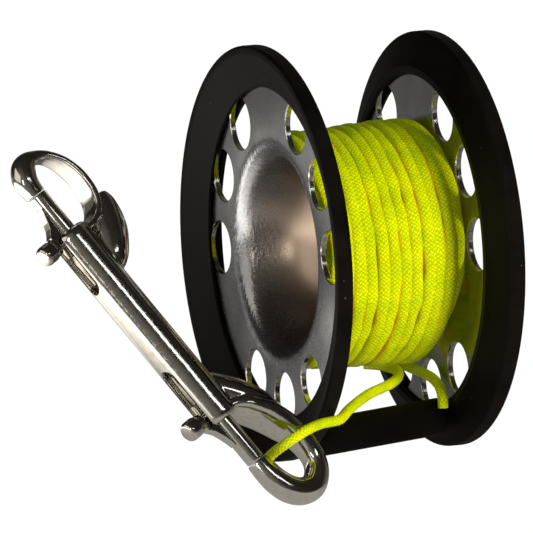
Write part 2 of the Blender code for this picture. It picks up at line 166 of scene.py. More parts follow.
def lathe(outline: Outline, steps: int) -> bmesh.types.BMesh:
    """Closed turned shape about X.

    Args:
        outline: Radius and place along X of each corner, in order round the section.
        steps: Faces round the axis.

    Returns:
        The shape, with normals outwards.
    """
    shape = bmesh.new()
    corners = [shape.verts.new((along, 0.0, radius)) for radius, along in outline]
    for first, second in zip(corners, corners[1:] + corners[:1]):
        if max(first.co.z, second.co.z) > ON_AXIS:
            shape.edges.new((first, second))
    bmesh.ops.spin(
        shape,
        geom=shape.verts[:] + shape.edges[:],
        cent=(0.0, 0.0, 0.0),
        axis=(1.0, 0.0, 0.0),
        angle=math.tau,
        steps=steps,
        use_merge=True,
    )
    bmesh.ops.remove_doubles(shape, verts=shape.verts, dist=WELD)
    bmesh.ops.recalc_face_normals(shape, faces=shape.faces)
    return shape


def rounded(corners: list[Point], steps: int = 5) -> Outline:
    """Outline with rounded corners.

    Args:
        corners: Radius, place along X and rounding of each corner, zero to keep it sharp.
        steps: Points on each round.

    Returns:
        The finer outline.
    """
    outline = [corner[:2] for corner in corners]
    made: Outline = []
    for index, (radius, along, rounding) in enumerate(corners):
        if not rounding:
            made.append((radius, along))
            continue
        here = Vector((radius, along))
        before = (Vector(outline[index - 1]) - here).normalized()
        after = (Vector(outline[(index + 1) % len(outline)]) - here).normalized()
        half = math.acos(max(-1.0, min(1.0, before.dot(after)))) / 2
        start, end = here + before * rounding / math.tan(half), here + after * rounding / math.tan(half)
        for step in range(steps + 1):
            t = step / steps
            made.append(tuple(start.lerp(here, t).lerp(here.lerp(end, t), t)))
    return made


def smooth_path(points: list, steps: int) -> list[Vector]:
    """Catmull-Rom curve through points of any width.

    Args:
        points: Points to pass through.
        steps: Steps between two of them.

    Returns:
        The finer list of points.
    """
    rows = [Vector(point) for point in points]
    ends = [rows[0] * 2 - rows[1], *rows, rows[-1] * 2 - rows[-2]]
    path = []
    for before, start, end, after in zip(ends, ends[1:], ends[2:], ends[3:]):
        for step in range(steps):
            t = step / steps
            bend = (2 * before - 5 * start + 4 * end - after) * t * t
            twist = (3 * start - before - 3 * end + after) * t * t * t
            path.append((2 * start + (end - before) * t + bend + twist) / 2)
    path.append(rows[-1])
    return path


def evenly(points: list[Vector], spacing: float) -> list[Vector]:
    """Points along a line of points, one every given spacing.

    Args:
        points: Fine line of points.
        spacing: Rough distance between two of the result.

    Returns:
        The evenly spaced points, with both ends kept.
    """
    lengths = [0.0]
    for first, second in zip(points, points[1:]):
        lengths.append(lengths[-1] + (second - first).length)
    count = max(2, round(lengths[-1] / spacing))
    made, at = [], 0
    for index in range(count + 1):
        target = lengths[-1] * index / count
        while at < len(points) - 2 and lengths[at + 1] < target:
            at += 1
        share = (target - lengths[at]) / max(WELD, lengths[at + 1] - lengths[at])
        made.append(points[at].lerp(points[at + 1], min(max(share, 0.0), 1.0)))
    return made


def prism(corners: list[Vector], run: Vector) -> bmesh.types.BMesh:
    """Closed shape that a flat face sweeps along a straight run.

    Args:
        corners: Corners of the face.
        run: Run from it to the far face.

    Returns:
        The shape, with normals outwards.
    """
    shape = bmesh.new()
    face = shape.faces.new([shape.verts.new(corner) for corner in corners])
    grown = bmesh.ops.extrude_face_region(shape, geom=[face])["geom"]
    far = [item for item in grown if isinstance(item, bmesh.types.BMVert)]
    bmesh.ops.translate(shape, vec=run, verts=far)
    bmesh.ops.recalc_face_normals(shape, faces=shape.faces)
    return shape


def mesh_of(name: str, shape: bmesh.types.BMesh) -> bpy.types.Mesh:
    """Mesh of a shape, which is freed.

    Args:
        name: Name of the mesh.
        shape: The shape.

    Returns:
        The mesh.
    """
    mesh = bpy.data.meshes.new(name)
    shape.to_mesh(mesh)
    shape.free()
    return mesh


def place_object(name: str, data: bpy.types.ID) -> bpy.types.Object:
    """Puts data into the scene.

    Args:
        name: Name of the object.
        data: Its mesh, curve, light or camera.

    Returns:
        The new object, at the origin.
    """
    made = bpy.data.objects.new(name, data)
    bpy.context.scene.collection.objects.link(made)
    return made


def join(target: bmesh.types.BMesh, shape: bmesh.types.BMesh) -> None:
    """Adds a shape to another and frees it.

    Args:
        target: Shape that grows.
        shape: Shape that is added.
    """
    mesh = mesh_of("joined", shape)
    target.from_mesh(mesh)
    bpy.data.meshes.remove(mesh)


def length_of(points: list[Vector]) -> float:
    """Length of a line of points, in metres."""
    return sum((second - first).length for first, second in zip(points, points[1:]))


def finish_mesh(
    name: str, shape: bmesh.types.BMesh, finish: bpy.types.Material, sharp: float = SHARP
) -> bpy.types.Object:
    """Object made of a shape, smooth but for its sharp edges.

    Args:
        name: Name of the piece.
        shape: Shape in its final place; it is freed.
        finish: Material of the piece.
        sharp: Angle in degrees past which an edge is sharp.

    Returns:
        The new object, at the origin.
    """
    mesh = mesh_of(name, shape)
    mesh.materials.append(finish)
    mesh.shade_smooth()
    mesh.set_sharp_from_angle(angle=math.radians(sharp))
    return place_object(name, mesh)


def bake(made: bpy.types.Object, sharp: float | None = None) -> None:
    """Turns a piece's live modifiers into its mesh.

    Args:
        made: The piece.
        sharp: Angle in degrees past which an edge is sharp, or None to leave the shading.
    """
    bpy.context.view_layer.update()
    graph = bpy.context.evaluated_depsgraph_get()
    mesh = bpy.data.meshes.new_from_object(made.evaluated_get(graph))
    made.modifiers.clear()
    made.data = mesh
    if sharp is not None:
        mesh.shade_smooth()
        mesh.set_sharp_from_angle(angle=math.radians(sharp))


def cut(target: bpy.types.Object, shapes: list[bmesh.types.BMesh], sharp: float) -> None:
    """Cuts shapes out of a piece and removes the cutters.

    Args:
        target: Piece to cut.
        shapes: Cutting shapes; each is freed.
        sharp: Angle in degrees past which an edge is sharp afterwards.
    """
    tools = []
    for index, shape in enumerate(shapes):
        mesh = mesh_of(f"{target.name}_cut_{index}", shape)
        mesh.materials.append(target.data.materials[-1])
        tool = place_object(mesh.name, mesh)
        step = target.modifiers.new(tool.name, "BOOLEAN")
        step.operation, step.solver, step.object = "DIFFERENCE", "EXACT", tool
        step.material_mode = "TRANSFER"
        tools.append(tool)
    bake(target, sharp)
    for tool in tools:
        bpy.data.objects.remove(tool)


def cord_mesh(
    name: str, points: list[Vector], diameter: float, sides: int, finish: bpy.types.Material
) -> bpy.types.Object:
    """Tube along points, with U as millimetres along it and V once round it.

    Args:
        name: Name of the piece.
        points: Evenly spaced points of its middle line.
        diameter: Diameter in metres.
        sides: Faces round the tube, a multiple of four.
        finish: Material of the piece.

    Returns:
        The tube as a mesh object at the origin.
    """
    curve = bpy.data.curves.new(name, "CURVE")
    curve.dimensions = "3D"
    curve.bevel_depth = diameter / 2
    curve.bevel_resolution = sides // 2 - 2
    curve.use_fill_caps = True
    spline = curve.splines.new("POLY")
    spline.points.add(len(points) - 1)
    for place, point in zip(spline.points, points):
        place.co = (*point, 1.0)
    bent = place_object(name + "_line", curve)
    bpy.context.view_layer.update()
    mesh = bpy.data.meshes.new_from_object(bent.evaluated_get(bpy.context.evaluated_depsgraph_get()))
    bpy.data.objects.remove(bent)
    run = length_of(points) / MM
    for corner in mesh.uv_layers[0].data:
        corner.uv.x *= run
    mesh.name = name
    mesh.materials.clear()
    mesh.materials.append(finish)
    mesh.shade_smooth()
    return place_object(name, mesh)


def dress(piece: bpy.types.Object, body: Body, node: str | None = None) -> None:
    """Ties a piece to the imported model.

    Args:
        piece: The piece.
        body: Body that it rides on.
        node: Solid that it replaces, or None.
    """
    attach(piece, body.value)
    if node:
        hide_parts(node)


# Finishes


@dataclass(frozen=True)
class MouldedRubber:
    """Nitrile rubber from a steel mould: near black, a dull grey sheen and a little dust. Sizes in mm."""

    name: str = "moulded_black_rubber"
    dark: str = "#090706"
    light: str = "#161310"
    dust: str = "#6f6659"
    roughness: float = 0.5
    less_rough: float = 0.08
    more_rough: float = 0.1
    shine: float = 0.09  # low, for a surface full of fine pits
    index: float = 1.52
    patch: float = 9.0  # size of a lighter patch
    grain: float = 0.5  # size of the moulded grain
    depth: float = 0.012  # height of the grain
    specks: bool = True
    speck_spacing: float = 2.4
    speck_edge: tuple[float, float] = (0.035, 0.075)  # share of the spacing where a speck fades out
    speckless: float = 0.72  # share of the places that stay clean

    def build(self) -> bpy.types.Material:
        """Builds the material.

        Returns:
            The material.
        """
        nodes = Nodes(bpy.data.materials.new(self.name))
        grain = nodes.add("TexNoise", {0: nodes.place, "Scale": 1 / (self.grain * MM), "Detail": 3.0})
        patches = nodes.add("TexNoise", {0: nodes.place, "Scale": 1 / (self.patch * MM), "Detail": 4.0})
        colour = nodes.add("ValToRGB", (patches,), stops=[(0.3, self.dark), (0.75, self.light)])
        if self.specks:
            cells = {0: nodes.place, "Scale": 1 / (self.speck_spacing * MM)}
            near, drawn = [nodes.add("TexVoronoi", cells, output) for output in ("Distance", "Color")]
            speck = nodes.add("MapRange", (near, *self.speck_edge, 1.0, 0.0))
            share = nodes.add("Math", (drawn,), operation="FRACT")
            some = nodes.add("Math", (share, self.speckless), operation="GREATER_THAN")
            amount = nodes.add("Math", (speck, some), operation="MULTIPLY")
            colour = nodes.add("Mix", {0: amount, 6: colour, 7: linear(self.dust)}, 2, data_type="RGBA")
        rough = (self.roughness - self.less_rough, self.roughness + self.more_rough)
        bumps = {"Height": grain, "Distance": self.depth * MM, "Strength": 1.0}
        return nodes.finish(
            {
                "Base Color": colour,
                "Roughness": nodes.add("MapRange", (patches, 0.0, 1.0, *rough)),
                "IOR": self.index,
                "Specular IOR Level": self.shine,
                "Normal": nodes.add("Bump", bumps),
            }
        )


@dataclass(frozen=True)
class PressedSteel:
    """Stainless sheet, deep drawn and tumbled: satin grey, with orange peel where the bowl stretched, and a
    painted brownish reflection inside the bowl.
    """

    axis: Vector
    name: str = "pressed_stainless_sheet"
    dark: str = "#84868a"
    light: str = "#b4b5b7"
    stain: float = 14.0  # size of a stain in mm
    painted_light_tint: str = "#a59382"  # painted brownish reflection inside the bowl
    painted_reflection_end: tuple[float, float] = (17.0, 23.0)  # radii in mm between which the painted reflection fades
    bowl_roughness: float = 0.12  # added to the roughness inside the bowl
    roughness: float = 0.2
    less_rough: float = 0.05
    more_rough: float = 0.08
    fine: float = 0.35  # size of the tumbling's marks in mm
    fine_height: float = 0.05  # their share of the bumps' height
    peel_size: float = 0.9  # size of an orange-peel bump in mm
    peel_height: float = 0.09
    peel_draw: Point = (1.2, 1.2, 0.55)  # finer across than upwards, as the sheet was drawn
    peel_start: tuple[float, float] = (17.0, 22.0)  # radii in mm between which the peel sets in
    peel_end: tuple[float, float] = (25.5, 27.5)  # and between which it fades
    peel_left: float = 0.12  # share of it that the flat web keeps

    def build(self) -> bpy.types.Material:
        """Builds the material.

        Returns:
            The material.
        """
        nodes = Nodes(bpy.data.materials.new(self.name))
        stains = nodes.add("TexNoise", {0: nodes.place, "Scale": 1 / (self.stain * MM), "Detail": 5.0})
        cool = nodes.add("ValToRGB", (stains,), stops=[(0.25, self.dark), (0.75, self.light)])
        fine = nodes.add("TexNoise", {0: nodes.place, "Scale": 1 / (self.fine * MM), "Detail": 3.0})
        ends = (self.roughness - self.less_rough, self.roughness + self.more_rough)
        rough = nodes.add("MapRange", (fine, 0.3, 0.7, *ends))
        offset = nodes.add("VectorMath", (nodes.place, self.axis), operation="SUBTRACT")
        across = nodes.add("VectorMath", (offset, (0.0, 1 / MM, 1 / MM)), operation="MULTIPLY")
        radius = nodes.add("VectorMath", (across,), "Value", operation="LENGTH")
        inside = nodes.add("MapRange", (radius, *self.peel_start), interpolation_type="SMOOTHSTEP")
        fading = (radius, *self.peel_end, 1.0, self.peel_left)
        outside = nodes.add("MapRange", fading, interpolation_type="SMOOTHSTEP")
        # where the bowl's painted reflection shows; the bowl is also rougher there
        bowl = nodes.add("MapRange", (radius, *self.painted_reflection_end, 1.0, 0.0))
        drawn = nodes.add("VectorMath", (nodes.place, self.peel_draw), operation="MULTIPLY")
        peel = nodes.add("TexNoise", {0: drawn, "Scale": 1 / (self.peel_size * MM), "Detail": 2.0})
        amount = nodes.add("Math", (inside, outside), operation="MULTIPLY")
        height = nodes.add("Math", (peel, amount), operation="MULTIPLY")
        height = nodes.add("Math", (fine, self.fine_height, height), operation="MULTIPLY_ADD")
        bumps = {"Height": height, "Distance": self.peel_height * MM, "Strength": 1.0}
        # the painted brownish reflection tints the stained grey inside the bowl
        colour = {0: bowl, 6: cool, 7: linear(self.painted_light_tint)}
        return nodes.finish(
            {
                "Base Color": nodes.add("Mix", colour, 2, data_type="RGBA"),
                "Metallic": 1.0,
                "Roughness": nodes.add("Math", (bowl, self.bowl_roughness, rough), operation="MULTIPLY_ADD"),
                "Normal": nodes.add("Bump", bumps),
            }
        )


@dataclass(frozen=True)
class PolishedSteel:
    """Cast stainless, machine polished: mirror-like, with a faint waviness and clouds of finer polish."""

    name: str = "polished_cast_stainless"
    dark: str = "#c4c1b9"
    light: str = "#d0cdc5"
    roughness: float = 0.11
    less_rough: float = 0.03
    more_rough: float = 0.05
    fine: float = 1.1  # size of the polish's clouds in mm
    fine_height: float = 0.02  # their share of the waviness
    wave: float = 4.5  # size of the casting's waviness in mm
    wave_height: float = 0.05

    def build(self) -> bpy.types.Material:
        """Builds the material.

        Returns:
            The material.
        """
        nodes = Nodes(bpy.data.materials.new(self.name))
        waves = nodes.add("TexNoise", {0: nodes.place, "Scale": 1 / (self.wave * MM), "Detail": 2.0})
        fine = nodes.add("TexNoise", {0: nodes.place, "Scale": 1 / (self.fine * MM), "Detail": 4.0})
        height = nodes.add("Math", (fine, self.fine_height, waves), operation="MULTIPLY_ADD")
        bumps = {"Height": height, "Distance": self.wave_height * MM, "Strength": 1.0}
        rough = (self.roughness - self.less_rough, self.roughness + self.more_rough)
        return nodes.finish(
            {
                "Base Color": nodes.add("ValToRGB", (fine,), stops=[(0.3, self.dark), (0.65, self.light)]),
                "Metallic": 1.0,
                "Roughness": nodes.add("MapRange", (fine, 0.3, 0.7, *rough)),
                "Normal": nodes.add("Bump", bumps),
            }
        )


@dataclass(frozen=True)
class PunchedEdge:
    """Freshly punched stainless: the bright wall of a hole."""

    name: str = "punched_stainless_edge"
    dark: str = "#a5a19b"
    light: str = "#e6e3dd"
    roughness: float = 0.2
    tear: float = 0.7  # size of a tear mark in mm
    tear_height: float = 0.03

    def build(self) -> bpy.types.Material:
        """Builds the material.

        Returns:
            The material.
        """
        nodes = Nodes(bpy.data.materials.new(self.name))
        tears = nodes.add("TexNoise", {0: nodes.place, "Scale": 1 / (self.tear * MM), "Detail": 3.0})
        bumps = {"Height": tears, "Distance": self.tear_height * MM, "Strength": 1.0}
        return nodes.finish(
            {
                "Base Color": nodes.add("ValToRGB", (tears,), stops=[(0.3, self.dark), (0.6, self.light)]),
                "Metallic": 1.0,
                "Roughness": self.roughness,
                "Normal": nodes.add("Bump", bumps),
            }
        )


@dataclass(frozen=True)
class BraidedLine:
    """Fluorescent polyester braid: plaits cross in a diamond lattice, with a painted highlight on their
    crowns and painted shade in the gaps.
    """

    name: str = "braided_fluorescent_polyester"
    # painted light on the plaits: top is the painted highlight on their crowns, side their mid tone, gap the
    # painted shade between them
    top: str = "#eef000"
    side: str = "#c8d400"
    gap: str = "#b2c000"
    # painted shade where turns of line face each other
    painted_crevice_shade: str = "#dcae00"
    worn: str = "#dfe8cf"
    plaits: int = 8
    plait_length: float = 1.0  # mm along the line
    plait_height: float = 0.07
    plait_arch: float = 0.4  # share of its height that a plait rises and falls
    plait_sharpness: float = 1.3
    looseness: float = 1.6  # how unevenly the plaits lie
    pull: float = 1.6  # mm between the tighter places
    patch: float = 5.0  # size of a worn patch in mm
    roughness: float = 0.6
    shine: float = 0.3
    # painted glow: the braid lights itself in its own colour, standing in for its fluorescence and for fill
    # light
    painted_glow: float = 0.08

    def build(self) -> bpy.types.Material:
        """Builds the material.

        Returns:
            The material.
        """
        nodes = Nodes(bpy.data.materials.new(self.name))
        flat = nodes.add("UVMap")
        length, circle = [nodes.add("SeparateXYZ", (flat,), axis) for axis in ("X", "Y")]
        pull = nodes.add("TexNoise", {0: nodes.place, "Scale": 1 / (self.pull * MM), "Detail": 2.0})
        slack = nodes.add("Math", (pull, self.looseness), operation="MULTIPLY")
        even = nodes.add("Math", (length, self.plait_length), operation="DIVIDE")
        along = nodes.add("Math", (even, slack), operation="ADD")
        around = nodes.add("Math", (circle, self.plaits), operation="MULTIPLY")
        turns = [nodes.add("Math", (around, along), operation=way) for way in ("ADD", "SUBTRACT")]
        whole = [nodes.add("Math", (turn,), operation="FLOOR") for turn in turns]
        cells = nodes.add("Math", tuple(whole), operation="ADD")
        odd = nodes.add("Math", (cells, 1.0), operation="PINGPONG")
        shares = [nodes.add("Math", (turn,), operation="FRACT") for turn in turns]
        halves = [nodes.add("Math", (share, math.pi), operation="MULTIPLY") for share in shares]
        right, left = [nodes.add("Math", (half,), operation="SINE") for half in halves]
        over = nodes.add("Mix", {0: odd, 2: right, 3: left}, data_type="FLOAT")
        under = nodes.add("Mix", {0: odd, 2: left, 3: right}, data_type="FLOAT")
        arch = nodes.add("Math", (under, self.plait_arch, 1 - self.plait_arch), operation="MULTIPLY_ADD")
        crown = nodes.add("Math", (over, self.plait_sharpness), operation="POWER")
        height = nodes.add("Math", (crown, arch), operation="MULTIPLY")
        # painted highlight on each plait's crown and painted shade in the gaps between plaits
        painted_plait_tones = [(0.05, self.gap), (0.5, self.side), (0.85, self.top)]
        painted_plait_shading = nodes.add("ValToRGB", (height,), stops=painted_plait_tones)
        wear = nodes.add("TexNoise", {0: nodes.place, "Scale": 1 / (self.patch * MM), "Detail": 3.0})
        shade = nodes.add("ValToRGB", (wear,), stops=[(0.3, self.worn), (0.65, "#ffffff")])
        mixed = nodes.add("Mix", {0: 1.0, 6: painted_plait_shading, 7: shade}, 2, data_type="RGBA", blend_type="MULTIPLY")
        # painted shade between neighbouring turns
        deep = nodes.add("Attribute", output="Fac", attribute_name="painted_crevice_shade")
        colour = nodes.add("Mix", {0: deep, 6: mixed, 7: linear(self.painted_crevice_shade)}, 2, data_type="RGBA")
        bumps = {"Height": height, "Distance": self.plait_height * MM, "Strength": 1.0}
        return nodes.finish(
            {
                "Base Color": colour,
                # painted glow of the braid
                "Emission Color": colour,
                "Emission Strength": self.painted_glow,
                "Roughness": self.roughness,
                "Specular IOR Level": self.shine,
                "Normal": nodes.add("Bump", bumps),
            }
        )


@dataclass(frozen=True)
class StudioFloor:
    """Matte pale paper of a studio table, lit from below so that it photographs white."""

    name: str = "matte_studio_paper"
    colour: str = "#4c4b4a"
    # colour of the floor's glow, its painted pools of light included
    painted_light_tint: str = "#fffaf2"
    roughness: float = 0.9
    dim_glow: float = 0.13
    white: float = 1.25  # glow that the camera sees
    white_share: float = 0.8
    painted_light_pools: tuple[tuple[float, float, float, float, float], ...] = (  # painted pools of light on the floor, seen mostly in the steel's reflections: X, Y, inner and outer radius, glow
        (-0.05, 0.045, 0.02, 0.046, 0.7),
        (-0.088, 0.11, 0.02, 0.046, 2.2),
        (-0.19, 0.02, 0.06, 0.17, 2.7),
        (-0.14, -0.1, 0.02, 0.07, 1.8),
        (-0.02, -0.07, 0.03, 0.08, 0.32),
        (-0.14, 0.27, 0.02, 0.08, 0.7),
    )

    def build(self) -> bpy.types.Material:
        """Builds the material, with a white glow over it that only the camera sees.

        Returns:
            The material.
        """
        nodes = Nodes(bpy.data.materials.new(self.name))
        total = self.dim_glow
        # painted pools of light that the steel reflects
        for x, y, inner, outer, strength in self.painted_light_pools:
            distance = nodes.add("VectorMath", (nodes.place, (x, y, 0.0)), "Value", operation="DISTANCE")
            fading = (distance, inner, outer, strength, 0.0)
            painted_pool = nodes.add("MapRange", fading, interpolation_type="SMOOTHSTEP")
            total = nodes.add("Math", (painted_pool, total), operation="ADD")
        lit = nodes.add("Emission", (linear("#ffffff"), self.white))
        share = nodes.add("Math", (nodes.add("LightPath"), self.white_share), operation="MULTIPLY")
        paper = nodes.tree.nodes["Principled BSDF"].outputs[0]
        nodes.feed(nodes.tree.nodes["Material Output"], (nodes.add("MixShader", (share, paper, lit)),))
        return nodes.finish(
            {
                "Base Color": linear(self.colour),
                "Roughness": self.roughness,
                "Emission Color": linear(self.painted_light_tint),
                "Emission Strength": total,
            }
        )


# Sub-assemblies


@dataclass
class Rims:
    """The two black rims, each a ring with a sunk outer face and a groove for its dish."""

    middle: Vector
    outer_radius: float = 47.5 * MM
    inner_radius: float = 37.8 * MM
    edge_width: float = 3.7 * MM
    recess: float = 3.3 * MM
    land: float = 1.0 * MM
    edge_round: float = 0.8 * MM
    bead: float = 2.0 * MM
    lip: float = 0.8 * MM
    half_width: float = 23.07 * MM
    dish_depth: float = 4.3 * MM
    sheet: float = 1.4 * MM
    dish_radius: float = 40.4 * MM
    gap: float = 0.3 * MM
    rise: float = 0.25 * MM  # of the sunk face's outer edge under the land
    sharp: float = 30.0
    steps: int = 240

    def outline(self) -> Outline:
        """Section of a rim.

        Returns:
            Radius and depth from the outer face of each point.
        """
        front, back = self.dish_depth - self.gap, self.dish_depth + self.sheet + self.gap
        groove = self.dish_radius + self.gap
        edge = self.outer_radius - self.edge_round - self.land
        corners = [
            (self.inner_radius, self.recess, 0.25),
            (edge - self.gap, self.rise, 0.1),
            (edge, 0.0, 0.1),
            (self.outer_radius, 0.0, 0.8),
            (self.outer_radius, self.edge_width, 0.8),
            (groove + self.lip, back, 1.2),
            (self.inner_radius + self.bead, back + self.lip, 0.5),
            (self.inner_radius + self.lip / 2, back + self.lip, 0.3),
            (self.inner_radius, back + self.lip / 2, 0.2),
            (self.inner_radius, back, 0.0),
            (groove, back, 0.0),
            (groove, front, 0.0),
            (self.inner_radius, front, 0.15),
        ]
        return rounded([(radius, depth, rounding * MM) for radius, depth, rounding in corners])

    def build(self, finish: bpy.types.Material) -> list[bpy.types.Object]:
        """Builds both rims.

        Args:
            finish: Rubber of the rims.

        Returns:
            The two pieces.
        """
        made = []
        for side in Side:
            outline = [(radius, side.value * (self.half_width - depth)) for radius, depth in self.outline()]
            shape = lathe(outline, self.steps)
            bmesh.ops.translate(shape, vec=self.middle, verts=shape.verts)
            rim = finish_mesh(f"rim_ring_{side.name.lower()}", shape, finish, self.sharp)
            dress(rim, Body.FRAME, f"rim_{side.name.lower()}")
            made.append(rim)
        return made


@dataclass
class Dishes:
    """The two pressed dishes, each with a finger bowl and nine punched holes."""

    middle: Vector
    half_width: float = 23.07 * MM
    depth: float = 4.3 * MM
    sheet: float = 1.4 * MM
    gap: float = 0.3 * MM
    radius: float = 40.4 * MM
    bowl_radius: float = 26.3 * MM
    hole_circle: float = 33.3 * MM
    hole_radius: float = 6.0 * MM
    hole_step: float = 30.0
    first_web: float = 80.5
    web_every: int = 4
    chamfer: float = 0.18 * MM
    sharp: float = 30.0
    steps: int = 192
    hole_steps: int = 72
    bowl: tuple[tuple[float, float], ...] = (
        (1.09, 0.0),
        (1.02, 0.004),
        (0.965, 0.014),
        (0.915, 0.036),
        (0.872, 0.078),
        (0.842, 0.127),
        (0.817, 0.19),
        (0.762, 0.36),
        (0.706, 0.52),
        (0.648, 0.65),
        (0.572, 0.765),
        (0.475, 0.865),
        (0.36, 0.935),
        (0.19, 0.985),
        (0.0, 1.0),
    )

    def middle_line(self) -> list[Vector]:
        """Middle of the sheet.

        Returns:
            Radius and depth of each point, from the sheet's edge to the bowl's bottom.
        """
        flat = self.depth + self.sheet / 2
        bottom = self.half_width - self.gap / 2 - self.sheet / 2
        bowl = [(r * self.bowl_radius, flat + d * (bottom - flat)) for r, d in self.bowl]
        line = [Vector((self.radius, flat)), Vector(((self.radius + self.bowl_radius) / 2, flat))]
        return line + [Vector(point[:2]) for point in smooth_path([(*p, 0.0) for p in bowl], 4)]

    def offset(self, line: list[Vector], distance: float) -> Outline:
        """Moves the middle line sideways.

        Args:
            line: Middle line of the sheet.
            distance: How far it moves, towards greater depth where positive.

        Returns:
            Radius and depth of each point of the moved line.
        """
        moved = []
        for index, point in enumerate(line):
            run = (line[min(index + 1, len(line) - 1)] - line[max(index - 1, 0)]).normalized()
            if index in (0, len(line) - 1):
                run = Vector((-1.0, 0.0))
            moved.append((max(0.0, point.x + run.y * distance), point.y - run.x * distance))
        return moved

    def hole(self, side: Side, place: int) -> bmesh.types.BMesh:
        """Cutter of one hole, flared at both faces of the sheet for its broken edges.

        Args:
            side: Side of the spool.
            place: Number of the place on the circle of holes.

        Returns:
            The cutter in its final place.
        """
        half = self.sheet / 2
        wide = self.hole_radius + self.chamfer * 3
        out, inside = half + self.chamfer * 2, half - self.chamfer
        front = [(0.0, -out), (wide, -out), (self.hole_radius, -inside)]
        back = [(self.hole_radius, inside), (wide, out), (0.0, out)]
        shape = lathe(front + back, self.hole_steps)
        angle = math.radians(self.first_web + place * self.hole_step)
        along = side.value * (self.half_width - self.depth - half)
        across = Vector((along, self.hole_circle * math.cos(angle), self.hole_circle * math.sin(angle)))
        bmesh.ops.translate(shape, vec=self.middle + across, verts=shape.verts)
        return shape

    def build(self, sheet: bpy.types.Material, edge: bpy.types.Material) -> list[bpy.types.Object]:
        """Builds both dishes.

        Args:
            sheet: Finish of the pressed sheet.
            edge: Finish of the holes' walls.

        Returns:
            The two pieces.
        """
        made = []
        for side in Side:
            name = side.name.lower()
            line = self.middle_line()
            section = self.offset(line, -self.sheet / 2) + self.offset(line, self.sheet / 2)[::-1]
            outline = [(radius, side.value * (self.half_width - depth)) for radius, depth in section]
            shape = lathe(outline, self.steps)
            bmesh.ops.translate(shape, vec=self.middle, verts=shape.verts)
            dish = finish_mesh(f"pressed_dish_{name}", shape, sheet, self.sharp)
            dish.data.materials.append(edge)
            places = [p for p in range(round(360 / self.hole_step)) if p % self.web_every]
            cut(dish, [self.hole(side, place) for place in places], self.sharp)
            dress(dish, Body.DRUM, f"dish_{name}")
            made.append(dish)
        return made


@dataclass
class Crossbar:
    """Round bar that joins the rims low at the front, a little aslant."""

    middle: Vector
    radius: float = 4.25 * MM
    offset: float = -14.5 * MM
    drop_left: float = 40.8 * MM
    drop_right: float = 38.1 * MM
    half_length: float = 15.97 * MM
    edge_round: float = 0.6 * MM
    steps: int = 96

    def build(self, finish: bpy.types.Material) -> bpy.types.Object:
        """Builds the bar.

        Args:
            finish: Plastic of the bar.

        Returns:
            The piece.
        """
        start = Vector((-self.half_length, self.offset, -self.drop_left))
        end = Vector((self.half_length, self.offset, -self.drop_right))
        run = end - start
        near, far = (self.radius, 0.0, self.edge_round), (self.radius, run.length, self.edge_round)
        shape = lathe(rounded([(0.0, 0.0, 0.0), near, far, (0.0, run.length, 0.0)]), self.steps)
        turn = Vector((1.0, 0.0, 0.0)).rotation_difference(run).to_matrix().to_4x4()
        bmesh.ops.transform(shape, matrix=Matrix.Translation(self.middle + start) @ turn, verts=shape.verts)
        bar = finish_mesh("round_crossbar", shape, finish)
        dress(bar, Body.FRAME, "crossbar")
        return bar


